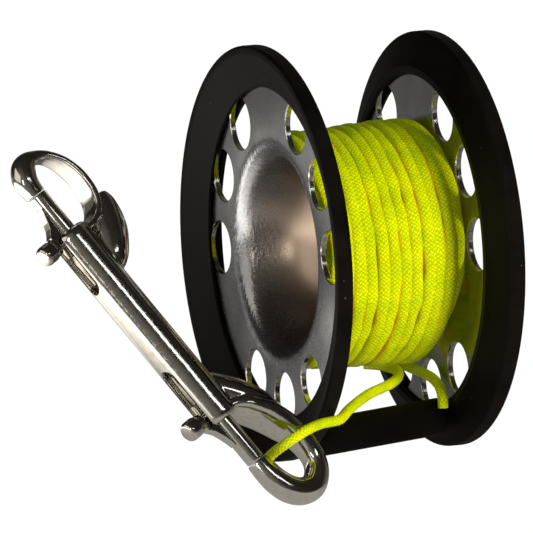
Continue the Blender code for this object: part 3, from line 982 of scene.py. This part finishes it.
@dataclass
class LinePack:
    """Line on the drum: the inner layers as one mass, and the turns of the outer layers."""

    middle: Vector
    width: float = 3.2 * MM  # of a strand pressed flat by winding
    flatness: float = 0.6
    pitch: float = 2.75 * MM
    half_length: float = 16.3 * MM
    inner_half_length: float = 13.4 * MM
    inner_depth: float = 1.6 * MM
    radius_left: float = 27.0 * MM
    radius_right: float = 28.2 * MM
    shoulder: float = 3.8 * MM
    shoulder_fall: float = 0.06  # mm per square mm along it
    lean: float = 3.0 * MM
    drift: float = 1.1 * MM
    drift_run: float = 3.4 * MM
    drift_bends: float = 0.8  # in one turn
    lift: float = 0.3 * MM
    lift_run: float = 2.5 * MM
    lift_bends: float = 1.3
    tuck: float = 0.14  # share of the half length by which an end turn is tucked in
    tuck_depth: float = 2.2 * MM
    inner_tuck_depth: float = 0.4 * MM
    widening: float = 0.25
    widening_run: float = 5.0 * MM
    # painted shade between turns: where it sets in by facing, how fast it fades, and its patches
    crevice_facing: float = 0.88
    crevice_fade: float = 0.22
    crevice_run: float = 6.0 * MM
    crevice_patch: tuple[float, float] = (0.2, 1.7)  # middle and swing of the painted shade's strength
    crevice_reach: tuple[float, float] = (0.08, 0.7)
    loop_points: int = 160
    sides: int = 16
    core_inner: float = 12.5 * MM
    core_depth: float = 1.8 * MM
    core_steps: int = 96
    bowl_clearance: float = 0.35 * MM

    def pack_radius(self, along: float) -> float:
        """Outer radius of the pack, which has a round shoulder on the right.

        Args:
            along: Place along X in metres, from the spool's middle.

        Returns:
            The radius in metres.
        """
        share = (along + self.half_length) / (2 * self.half_length)
        swell = self.radius_left + (self.radius_right - self.radius_left) * min(max(share, 0.0), 1.0)
        edge = max(0.0, along - self.half_length + self.shoulder)
        return swell - self.shoulder_fall * edge * edge / MM

    def layer(self, half: float, depth: float, lean: float, seed: float) -> list[Vector]:
        """Middle line of one layer of turns, wandering a little as hand-wound line does.

        Args:
            half: Half the layer's length along X.
            depth: How far the layer's outside lies below the pack's outside.
            lean: How far the turns at the right lean to the left where they pass below the drum.
            seed: Offset into the noise.

        Returns:
            Evenly spaced points.
        """
        total = round(2 * half / self.pitch * self.loop_points)
        quarter = self.loop_points // 4
        tuck_depth = self.inner_tuck_depth if depth else self.tuck_depth
        points = []
        for step in range(total + 1):
            angle = -math.pi / 2 + math.tau * step / self.loop_points
            along = half * (2 * step / total - 1)
            below = max(0.0, -math.sin(angle)) ** 2
            around = Vector((math.cos(angle), math.sin(angle), 0.0))
            place = Vector((0.0, 0.0, along / self.drift_run + seed))
            drift = noise.noise(around * self.drift_bends + place)
            along += drift * self.drift - lean * below * (along + half) / (2 * half)
            place = Vector((0.0, 0.0, along / self.lift_run - seed))
            lift = noise.noise(around * self.lift_bends + place)
            tucked = max(0.0, 1 - min(step, total - step) / quarter) ** 2
            along *= 1 - self.tuck * tucked
            radius = self.pack_radius(along) - self.width * self.flatness / 2 - depth
            radius += lift * self.lift - tucked * tuck_depth
            points.append(self.middle + Vector((along, radius * around.x, radius * around.y)))
        return evenly(points, math.tau * self.radius_left / self.loop_points)

    def flatten(self, made: bpy.types.Object, points: list[Vector], seed: float) -> None:
        """Presses the round strand flat against the drum, a little wider in some places than in others.

        Args:
            made: Tube along the points.
            points: Middle line of the strand.
            seed: Offset into the noise.
        """
        rings = [points[-1], points[0], *points]  # the two caps come first in the tube's mesh
        for index, vertex in enumerate(made.data.vertices):
            ring = rings[index // self.sides]
            out = Vector((0.0, ring.y - self.middle.y, ring.z - self.middle.z)).normalized()
            arm = vertex.co - ring
            arm -= out * arm.dot(out) * (1 - self.flatness)
            arm.x *= 1 + self.widening * noise.noise(ring / self.widening_run + Vector((seed, 0.0, 0.0)))
            vertex.co = ring + arm
        made.data.update()

    def paint_crevice_shade(self, made: bpy.types.Object) -> None:
        """Marks how far each point of the turns faces its neighbour rather than outwards, where the braid
        paints shade between turns.

        Args:
            made: Piece of turns.
        """
        painted_shade_mark = made.data.attributes.new("painted_crevice_shade", "FLOAT", "POINT")
        middle, swing = self.crevice_patch
        least, most = self.crevice_reach
        for index, vertex in enumerate(made.data.vertices):
            out = vertex.co - self.middle
            out.x = 0.0
            facing = vertex.normal.dot(out.normalized())
            patch = noise.noise(vertex.co / self.crevice_run) * swing + middle
            depth = (self.crevice_facing - facing) / self.crevice_fade
            painted_shade_mark.data[index].value = min(1.0, max(0.0, depth)) * min(most, max(least, patch))

    def core(self, finish: bpy.types.Material) -> bpy.types.Object:
        """Builds the mass of inner layers.

        Args:
            finish: Braid of the line.

        Returns:
            The piece.
        """
        bowl = Dishes(self.middle)
        clear = bowl.sheet / 2 + self.bowl_clearance
        back = bowl.offset(bowl.middle_line(), clear)
        flat = bowl.depth + bowl.sheet + self.bowl_clearance
        halves = []
        for side in Side:
            top = self.pack_radius(side.value * self.half_length) - self.inner_depth - self.core_depth
            wall = [point for point in back if self.core_inner < point[0] < top and point[1] > flat]
            wall = [(top, wall[0][1])] + wall
            halves.append([(radius, side.value * (bowl.half_width - depth)) for radius, depth in wall])
        outline = halves[0] + halves[1][::-1]
        shape = lathe(outline, self.core_steps)
        bmesh.ops.translate(shape, vec=self.middle, verts=shape.verts)
        return finish_mesh("line_inner_layers", shape, finish)

    def build(self, braid: bpy.types.Material) -> list[bpy.types.Object]:
        """Builds the pack.

        Args:
            braid: Braid of the line.

        Returns:
            Its pieces.
        """
        core = self.core(braid)
        dress(core, Body.DRUM, "line_core")
        layers = []
        for name, half, depth, lean, seed in (
            ("line_outer_turns", self.half_length, 0.0, self.lean, 3.1),
            ("line_second_turns", self.inner_half_length, self.inner_depth, -self.lean / 2, 8.7),
        ):
            points = self.layer(half, depth, lean, seed)
            turns = cord_mesh(name, points, self.width, self.sides, braid)
            self.flatten(turns, points, seed)
            self.paint_crevice_shade(turns)
            dress(turns, Body.DRUM, None if layers else "line_winding")
            layers.append(turns)
        return [core, *layers]


@dataclass
class FreeLine:
    """The two free strands: the lead to the snap and the short strand to the crossbar."""

    middle: Vector
    diameter: float = 2.4 * MM
    spacing: float = 1.2 * MM
    sides: int = 16
    fine_steps: int = 40
    lead: tuple[Point, ...] = (
        (0.0050, 0.0045, -0.0290),
        (0.0088, 0.0030, -0.0294),
        (0.0107, -0.0010, -0.0298),
        (0.0092, -0.0055, -0.0303),
        (0.0046, -0.0115, -0.0304),
        (-0.0040, -0.0196, -0.0303),
        (-0.0130, -0.0302, -0.0306),
        (-0.0178, -0.0364, -0.0312),
        (-0.0208, -0.0385, -0.0311),
        (-0.0242, -0.0408, -0.0308),
        (-0.0288, -0.0452, -0.0305),
        (-0.0328, -0.0474, -0.0314),
        (-0.0360, -0.0474, -0.0332),
        (-0.0373, -0.0438, -0.0358),
        (-0.0380, -0.0417, -0.0377),
        (-0.0398, -0.0409, -0.0393),
    )
    strand: tuple[Point, ...] = (
        (0.0124, 0.0090, -0.0283),
        (0.0142, 0.0030, -0.0296),
        (0.0150, -0.0030, -0.0298),
        (0.0151, -0.0075, -0.0297),
        (0.0152, -0.0120, -0.0299),
        (0.0150, -0.0162, -0.0309),
        (0.0146, -0.0188, -0.0327),
        (0.0145, -0.0194, -0.0351),
    )

    def build(self, braid: bpy.types.Material) -> list[bpy.types.Object]:
        """Builds both strands.

        Args:
            braid: Braid of the line.

        Returns:
            The two pieces.
        """
        made = []
        strands = (("lead_line", "line_lead", self.lead), ("second_strand", "line_strand", self.strand))
        for name, node, route in strands:
            fine = smooth_path([self.middle + Vector(point) for point in route], self.fine_steps)
            points = evenly(fine, self.spacing)
            piece = cord_mesh(name, points, self.diameter, self.sides, braid)
            dress(piece, Body.FRAME, node)
            made.append(piece)
        return made


@dataclass(frozen=True)
class CastForm:
    """Swept form of the snap's casting, in the snap's own frame: Z along the barrel, X towards the arm.

    Each station gives its place along and out from the barrel's axis, half its thickness and half its width,
    in mm.
    """

    way: int
    stations: tuple[tuple[float, float, float, float], ...]
    square: float = 0.4  # how far a section twice as wide as thick turns from an oval into a box
    segments: int = 40
    steps: int = 6

    def shape(self) -> bmesh.types.BMesh:
        """Sweeps the form's section along its stations.

        Returns:
            The closed shape in the snap's frame.
        """
        rows = smooth_path(list(self.stations), self.steps)
        places = [Vector((row[1], 0.0, self.way * row[0])) * MM for row in rows]
        shape = bmesh.new()
        ring = bmesh.ops.create_circle(shape, cap_ends=False, segments=self.segments, radius=1.0)["verts"]
        angles = [math.atan2(vertex.co.y, vertex.co.x) for vertex in ring]
        edges = shape.edges[:]
        for index, (place, row) in enumerate(zip(places, rows)):
            if index:
                grown = bmesh.ops.extrude_edge_only(shape, edges=edges)["geom"]
                ring = [item for item in grown if isinstance(item, bmesh.types.BMVert)]
                edges = [item for item in grown if isinstance(item, bmesh.types.BMEdge)]
                edges = [edge for edge in edges if all(vertex in ring for vertex in edge.verts)]
            run = (places[min(index + 1, len(places) - 1)] - places[max(index - 1, 0)]).normalized()
            out = Vector((run.z, 0.0, -run.x)) * self.way
            power = 1 - self.square * min(max(row[3] / row[2] - 1, 0), 1)
            for vertex, angle in zip(ring, angles):
                across = math.copysign(abs(math.cos(angle)) ** power, math.cos(angle)) * row[2] * MM
                deep = math.copysign(abs(math.sin(angle)) ** power, math.sin(angle)) * row[3] * MM
                vertex.co = place + out * across + Vector((0.0, deep, 0.0))
        bmesh.ops.holes_fill(shape, edges=shape.edges[:], sides=0)
        bmesh.ops.recalc_face_normals(shape, faces=shape.faces)
        return shape


@dataclass(frozen=True)
class Mouth:
    """One end of the barrel: its mouth, its gate's stud and the nose that the gate closes on."""

    name: str
    body: Body
    way: int
    mouth: float
    inset: float
    nose: float
    edge: float


@dataclass
class BoltSnap:
    """Double-ended bolt snap: a barrel with a hook at each end, and a sprung gate in each mouth."""

    middle: Vector
    offset: Vector = field(default_factory=lambda: Vector((-61.3 * MM, -30.2 * MM, -9.3 * MM)))
    turn: tuple[float, float, float] = (-35.3, -22.6, 24.4)
    barrel: float = 4.6 * MM
    bolt: float = 2.2 * MM
    gap: float = 0.3 * MM
    seam: float = 0.12 * MM
    travel: float = 12.0 * MM
    tail: float = 4.0 * MM
    spring_room: float = 1.5 * MM
    slot_half: float = 2.0 * MM
    slot_flare: float = 1.1 * MM
    slot_lip: float = 3.8 * MM
    slot_slope: float = 1.3  # depth of the flare for its width
    neck: float = 1.3 * MM
    neck_end: float = 1.3 * MM
    knob_radius: float = 2.4 * MM
    knob_length: float = 5.0 * MM
    knob_over: float = 0.3 * MM  # crown of the knob
    gusset_half: float = 1.25 * MM
    gusset_clear: float = 0.05 * MM
    overrun: float = 2.0 * MM
    mouth_chamfer: float = 1.0 * MM
    mouth_lip: float = 0.25 * MM
    nose_round: float = 0.4 * MM
    tail_round: float = 0.3 * MM
    fillet_rounds: int = 9
    fine_rounds: int = 4
    sharp: float = 40.0
    steps: int = 96
    fine_steps: int = 64
    slot_steps: int = 48
    voxel: float = 0.22 * MM
    fine_voxel: float = 0.14 * MM
    gusset_top: tuple[tuple[float, float], ...] = (  # out past the barrel and along it, in mm
        (0.6, 0.0),
        (0.6, 2.4),
        (-0.1, 3.1),
        (-0.9, 4.1),
        (-1.6, 5.6),
    )
    gusset_foot: tuple[tuple[float, float], ...] = ((0.25, 7.8), (-0.1, 9.4))  # out past the bolt
    upper: Mouth = Mouth("upper", Body.UPPER_GATE, 1, 30.3 * MM, 1.4 * MM, 40.91 * MM, 2.0 * MM)
    lower: Mouth = Mouth("lower", Body.LOWER_GATE, -1, 25.0 * MM, 2.8 * MM, 36.91 * MM, 1.7 * MM)
    forms: tuple[CastForm, ...] = (
        CastForm(
            1,
            (
                (28.6, 0.0, 0.9, 3.0),
                (28.2, 3.0, 0.9, 3.6),
                (28.2, 5.5, 0.95, 3.7),
                (29.0, 7.8, 1.0, 3.7),
                (30.7, 9.6, 1.0, 3.7),
                (33.2, 10.8, 1.0, 3.7),
                (36.0, 11.3, 1.0, 3.65),
                (39.0, 11.3, 1.0, 3.55),
                (42.0, 10.6, 0.95, 3.4),
                (43.7, 9.9, 0.95, 3.2),
                (45.4, 8.8, 1.0, 2.9),
                (46.8, 7.4, 1.15, 2.7),
                (47.8, 5.5, 1.5, 2.6),
                (48.1, 3.6, 2.2, 2.7),
                (47.5, 1.9, 2.75, 2.85),
                (46.2, 0.6, 2.9, 2.95),
                (44.8, -0.1, 2.9, 2.9),
                (43.2, -0.3, 2.7, 2.7),
                (41.9, -0.3, 2.55, 2.55),
                (40.9, -0.3, 2.45, 2.45),
            ),
        ),
        CastForm(
            1,
            (
                (16.5, 1.5, 2.0, 2.5),
                (19.0, 4.6, 3.6, 4.0),
                (22.0, 7.1, 4.3, 4.4),
                (25.0, 9.3, 4.4, 4.3),
                (28.0, 11.3, 3.6, 3.8),
                (30.3, 12.8, 2.3, 3.0),
                (32.2, 13.6, 0.9, 1.8),
            ),
        ),
        CastForm(
            -1,
            (
                (23.2, 0.5, 1.3, 3.6),
                (23.8, 3.4, 1.4, 4.6),
                (25.3, 5.6, 1.7, 5.5),
                (27.6, 7.6, 1.95, 5.7),
                (30.3, 9.6, 2.2, 5.6),
                (34.0, 11.4, 2.3, 5.1),
                (38.0, 12.7, 2.4, 4.0),
                (42.0, 13.0, 2.45, 3.4),
                (45.3, 12.4, 2.5, 3.2),
                (47.8, 10.6, 2.7, 3.2),
                (49.4, 7.6, 3.0, 3.2),
                (48.7, 4.4, 3.2, 3.2),
                (46.5, 2.1, 3.25, 3.25),
                (43.5, 0.8, 3.1, 3.1),
                (41.0, 0.4, 2.95, 2.95),
                (39.0, 0.25, 2.8, 2.8),
                (36.9, 0.2, 2.6, 2.6),
            ),
        ),
        CastForm(
            -1,
            (
                (15.0, 2.0, 2.5, 3.0),
                (19.0, 4.2, 3.6, 4.2),
                (23.0, 6.8, 4.0, 5.0),
                (27.0, 9.2, 3.2, 5.2),
                (30.5, 10.6, 2.2, 4.6),
            ),
        ),
    )

    def matrix(self) -> Matrix:
        """Returns the snap's frame as a matrix."""
        turn = Euler([math.radians(angle) for angle in self.turn], "XYZ").to_matrix().to_4x4()
        return Matrix.Translation(self.middle + self.offset) @ turn

    def upright(self) -> Matrix:
        """Returns the turn that lays a turned shape's X along the barrel's Z."""
        return Matrix.Rotation(math.radians(-90.0), 4, "Y")

    def bore(self, end: Mouth) -> bmesh.types.BMesh:
        """Cutter of the bore that the gate's bolt slides in.

        Args:
            end: End of the barrel.

        Returns:
            The cutter in the snap's frame.
        """
        deep = end.way * (end.mouth - end.inset - self.tail - self.travel - self.spring_room)
        out = end.way * (end.mouth + self.overrun)
        radius = self.bolt + self.gap
        wide = radius + self.mouth_chamfer
        flare = end.way * (end.mouth - self.mouth_lip)
        bore = [(0.0, deep), (radius, deep), (radius, flare)]
        mouth = [(wide, flare + end.way * self.mouth_chamfer), (wide, out), (0.0, out)]
        shape = lathe(bore + mouth, self.fine_steps)
        bmesh.ops.transform(shape, matrix=self.upright(), verts=shape.verts)
        return shape

    def slot(self, end: Mouth) -> list[bmesh.types.BMesh]:
        """Cutters of the stud's slot, flared at the barrel's surface for its broken edges.

        Args:
            end: End of the barrel.

        Returns:
            The straight cutter and the round one at the slot's end.
        """
        inner, outer = self.bolt / 2, self.slot_lip + self.slot_flare * self.slot_slope
        wide = self.slot_half + self.slot_flare
        stop = end.mouth - end.inset - self.travel - self.neck - self.gap + self.slot_half
        corners = [(-inner, self.slot_half), (-self.slot_lip, self.slot_half), (-outer, wide)]
        corners += [(x, -y) for x, y in reversed(corners)]
        run = Vector((0.0, 0.0, end.way * (end.mouth + self.overrun - stop)))
        straight = prism([Vector((x, y, end.way * stop)) for x, y in corners], run)
        outline = [(0.0, -inner), (self.slot_half, -inner), (self.slot_half, -self.slot_lip)]
        round_end = lathe([*outline, (wide, -outer), (0.0, -outer)], self.slot_steps)
        bmesh.ops.translate(round_end, vec=(0.0, 0.0, end.way * stop), verts=round_end.verts)
        return [straight, round_end]

    def skin(self, made: bpy.types.Object, voxel: float, rounds: int) -> None:
        """Melts a piece's overlapping shapes into one casting with small fillets.

        Args:
            made: Piece of overlapping closed shapes.
            voxel: Size of the skin's cells in metres.
            rounds: Rounds of smoothing.
        """
        remesh = made.modifiers.new("skin", "REMESH")
        remesh.mode, remesh.voxel_size, remesh.use_smooth_shade = "VOXEL", voxel, True
        smooth = made.modifiers.new("fillets", "SMOOTH")
        smooth.factor, smooth.iterations = 0.5, rounds
        bake(made)

    def casting(self, finish: bpy.types.Material) -> bpy.types.Object:
        """Builds the barrel and both hooks as one casting.

        Args:
            finish: Polished steel.

        Returns:
            The piece.
        """
        foot, head = -self.lower.mouth, self.upper.mouth
        edges = [(self.barrel, foot, self.lower.edge), (self.barrel, head, self.upper.edge)]
        shape = lathe(rounded([(0.0, foot, 0.0), *edges, (0.0, head, 0.0)], 8), self.steps)
        bmesh.ops.transform(shape, matrix=self.upright(), verts=shape.verts)
        for form in self.forms:
            join(shape, form.shape())
        made = finish_mesh("snap_casting", shape, finish)
        self.skin(made, self.voxel, self.fillet_rounds)
        tools = []
        for end in (self.upper, self.lower):
            tools += [*self.slot(end), self.bore(end)]
        cut(made, tools, self.sharp)
        made.data.transform(self.matrix())
        dress(made, Body.FRAME, "snap_body")
        return made

    def stud(self, end: Mouth) -> bmesh.types.BMesh:
        """Shapes a thumb knob, its neck and the hollow-sided gusset that leads down to the bolt.

        Args:
            end: End of the barrel.

        Returns:
            The shape in the snap's frame.
        """
        head = self.barrel + self.gap
        tip = head + self.knob_length
        corners = [
            (0.0, -self.neck_end, 0.0),
            (self.neck, -self.neck_end, 0.0),
            (self.neck, -head + 0.2 * MM, 0.0),
            (self.knob_radius * 0.85, -head, 0.2 * MM),
            (self.knob_radius * 0.9, -head - 1.3 * MM, 0.5 * MM),
            (self.knob_radius, -head - 2.0 * MM, 0.5 * MM),
            (self.knob_radius, -tip, 1.3 * MM),
            (0.0, -tip - self.knob_over, 0.0),
        ]
        shape = lathe(rounded(corners), self.fine_steps)
        foot = self.bolt + self.gusset_clear
        side = [(foot, 0.0)]
        side += [(head + out * MM, along * MM) for out, along in self.gusset_top]
        side += [(foot + out * MM, along * MM) for out, along in self.gusset_foot]
        corners = [Vector((-out, -self.gusset_half, end.way * along)) for out, along in side]
        join(shape, prism(corners, Vector((0.0, 2 * self.gusset_half, 0.0))))
        bmesh.ops.translate(shape, vec=(0.0, 0.0, end.way * (end.mouth - end.inset)), verts=shape.verts)
        return shape

    def gate(self, end: Mouth, finish: bpy.types.Material) -> list[bpy.types.Object]:
        """Builds one sliding bolt and its thumb stud.

        Args:
            end: End of the barrel.
            finish: Polished steel.

        Returns:
            The bolt and the stud.
        """
        tail, tip = end.way * (end.mouth - end.inset - self.tail), end.way * (end.nose - self.seam)
        edges = [(self.bolt, tail, self.tail_round), (self.bolt, tip, self.nose_round)]
        shape = lathe(rounded([(0.0, tail, 0.0), *edges, (0.0, tip, 0.0)]), self.fine_steps)
        bmesh.ops.transform(shape, matrix=self.matrix() @ self.upright(), verts=shape.verts)
        bolt = finish_mesh(f"sliding_bolt_{end.name}", shape, finish)
        knob = finish_mesh(f"thumb_knob_{end.name}", self.stud(end), finish)
        self.skin(knob, self.fine_voxel, self.fine_rounds)
        knob.data.transform(self.matrix())
        for piece, node in ((bolt, f"gate_bolt_{end.name}"), (knob, f"thumb_stud_{end.name}")):
            dress(piece, end.body, node)
        return [bolt, knob]

    def build(self, finish: bpy.types.Material) -> list[bpy.types.Object]:
        """Builds the whole snap.

        Args:
            finish: Polished steel.

        Returns:
            Its pieces.
        """
        return [self.casting(finish), *self.gate(self.upper, finish), *self.gate(self.lower, finish)]


# Studio


@dataclass
class Studio:
    """Pale floor, soft lights and a long-lens camera at the photograph's angle."""

    middle: Vector
    azimuth: float = -22.4
    elevation: float = 12.5
    pixels_per_mm: float = 4.392
    image: int = 533
    middle_pixel: tuple[float, float] = (351.6, 245.6)
    distance: float = 5.0
    sensor: float = 36.0
    clip: tuple[float, float] = (0.1, 50.0)
    floor_half: float = 3.0
    aim: Point = (0.0, 0.0, 0.05)  # where the soft boxes look
    bright_side: Point = (-0.8, -0.6, 0.0)
    room: tuple[tuple[float, str], ...] = (
        (0.0, "#7d786e"),
        (0.3, "#272422"),
        (0.75, "#36332f"),
        (1.0, "#807d76"),
    )

    def camera(self) -> bpy.types.Object:
        """Makes the camera and sets it as the scene's.

        Returns:
            The camera.
        """
        a, e = math.radians(self.azimuth), math.radians(self.elevation)
        back = Vector((math.sin(a) * math.cos(e), -math.cos(a) * math.cos(e), math.sin(e)))
        right = Vector((math.cos(a), math.sin(a), 0.0))
        up = back.cross(right)
        half = self.image / 2
        aside = (half - self.middle_pixel[0]) / self.pixels_per_mm * MM
        rise = (self.middle_pixel[1] - half) / self.pixels_per_mm * MM
        aim = self.middle + right * aside + up * rise
        data = bpy.data.cameras.new("long_lens")
        data.sensor_width = self.sensor
        data.lens = self.sensor * self.distance / (self.image / self.pixels_per_mm * MM)
        data.clip_start, data.clip_end = self.clip
        made = place_object("long_lens", data)
        turn = Matrix((right, up, back)).transposed().to_4x4()
        made.matrix_world = Matrix.Translation(aim + back * self.distance) @ turn
        bpy.context.scene.camera = made
        return made

    def light(
        self, name: str, place: Point, size: tuple[float, float], power: float, colour: str
    ) -> bpy.types.Object:
        """Adds a soft box that looks at the object.

        Args:
            name: Name of the light.
            place: Its place in metres.
            size: Its width and height in metres.
            power: Its power in watts.
            colour: Its colour in hex.

        Returns:
            The light.
        """
        data = bpy.data.lights.new(name, "AREA")
        data.shape = "RECTANGLE"
        data.size, data.size_y = size
        data.energy = power
        data.color = linear(colour)[:3]
        made = place_object(name, data)
        made.location = place
        made.rotation_euler = (Vector(self.aim) - Vector(place)).to_track_quat("-Z", "Y").to_euler()
        return made

    def build(self) -> None:
        """Builds the floor, the lights, the world and the camera."""
        floor = bmesh.new()
        bmesh.ops.create_grid(floor, x_segments=1, y_segments=1, size=self.floor_half)
        made = finish_mesh("studio_floor", floor, StudioFloor().build())
        key = self.light("key_softbox", (0.42, -1.1, 0.18), (0.3, 0.4), 17.0, "#fffdf6")
        top = self.light("top_softbox", (0.0, 0.2, 0.95), (0.5, 0.5), 1.0, "#a8e4c4")
        for lamp in (key, top):
            lamp.visible_glossy = False  # both soft boxes stand behind a diffuser that mirrors don't show
        self.light("front_strip", (0.25, -1.0, 0.72), (0.5, 0.1), 0.6, "#f6fbf6")
        panel = self.light("left_panel", (-0.84, -0.8, 0.14), (0.16, 0.5), 1.4, "#fffaf2")
        wall = self.light("left_wall", (-1.0, 0.0, 0.3), (1.0, 0.6), 1.8, "#fff8ee")
        for lamp in (panel, wall):
            lamp.visible_diffuse = False  # both only show in the polished steel
        nodes = Nodes(bpy.data.worlds.new("studio_room"))
        facing = (nodes.coordinates["Generated"], self.bright_side)
        front = nodes.add("VectorMath", facing, "Value", operation="DOT_PRODUCT")
        share = nodes.add("Math", (front, 0.5, 0.5), operation="MULTIPLY_ADD")
        nodes.feed(nodes.tree.nodes["Background"], (nodes.add("ValToRGB", (share,), stops=self.room),))
        bpy.context.scene.world = nodes.owner
        bpy.context.scene.view_settings.view_transform = "Standard"
        self.camera()


def main() -> None:
    """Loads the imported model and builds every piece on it."""
    logging.basicConfig(level=logging.INFO, format="%(name)s: %(message)s")
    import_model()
    low_left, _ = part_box("rim_left")
    _, high_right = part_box("rim_right")
    middle = (low_left + high_right) / 2
    studio = Studio(middle)
    studio.build()
    braid = BraidedLine().build()
    steel = PolishedSteel().build()
    rubber = MouldedRubber()
    plastic = MouldedRubber("moulded_black_plastic", "#050403", "#0b0a08", roughness=0.55, specks=False)
    builders: list[tuple[str, Callable[[], object]]] = [
        ("free line", lambda: FreeLine(middle).build(braid)),
        ("rims", lambda: Rims(middle).build(rubber.build())),
        ("dishes", lambda: Dishes(middle).build(PressedSteel(axis=middle).build(), PunchedEdge().build())),
        ("crossbar", lambda: Crossbar(middle).build(plastic.build())),
        ("line pack", lambda: LinePack(middle).build(braid)),
        ("bolt snap", lambda: BoltSnap(middle).build(steel)),
    ]
    for name, build in builders:
        made = build()
        pieces = made if isinstance(made, list) else [made]
        for piece in pieces:
            log.info("%s: %s, %d faces", name, piece.name, len(piece.data.polygons))


if __name__ == "__main__":
    main()
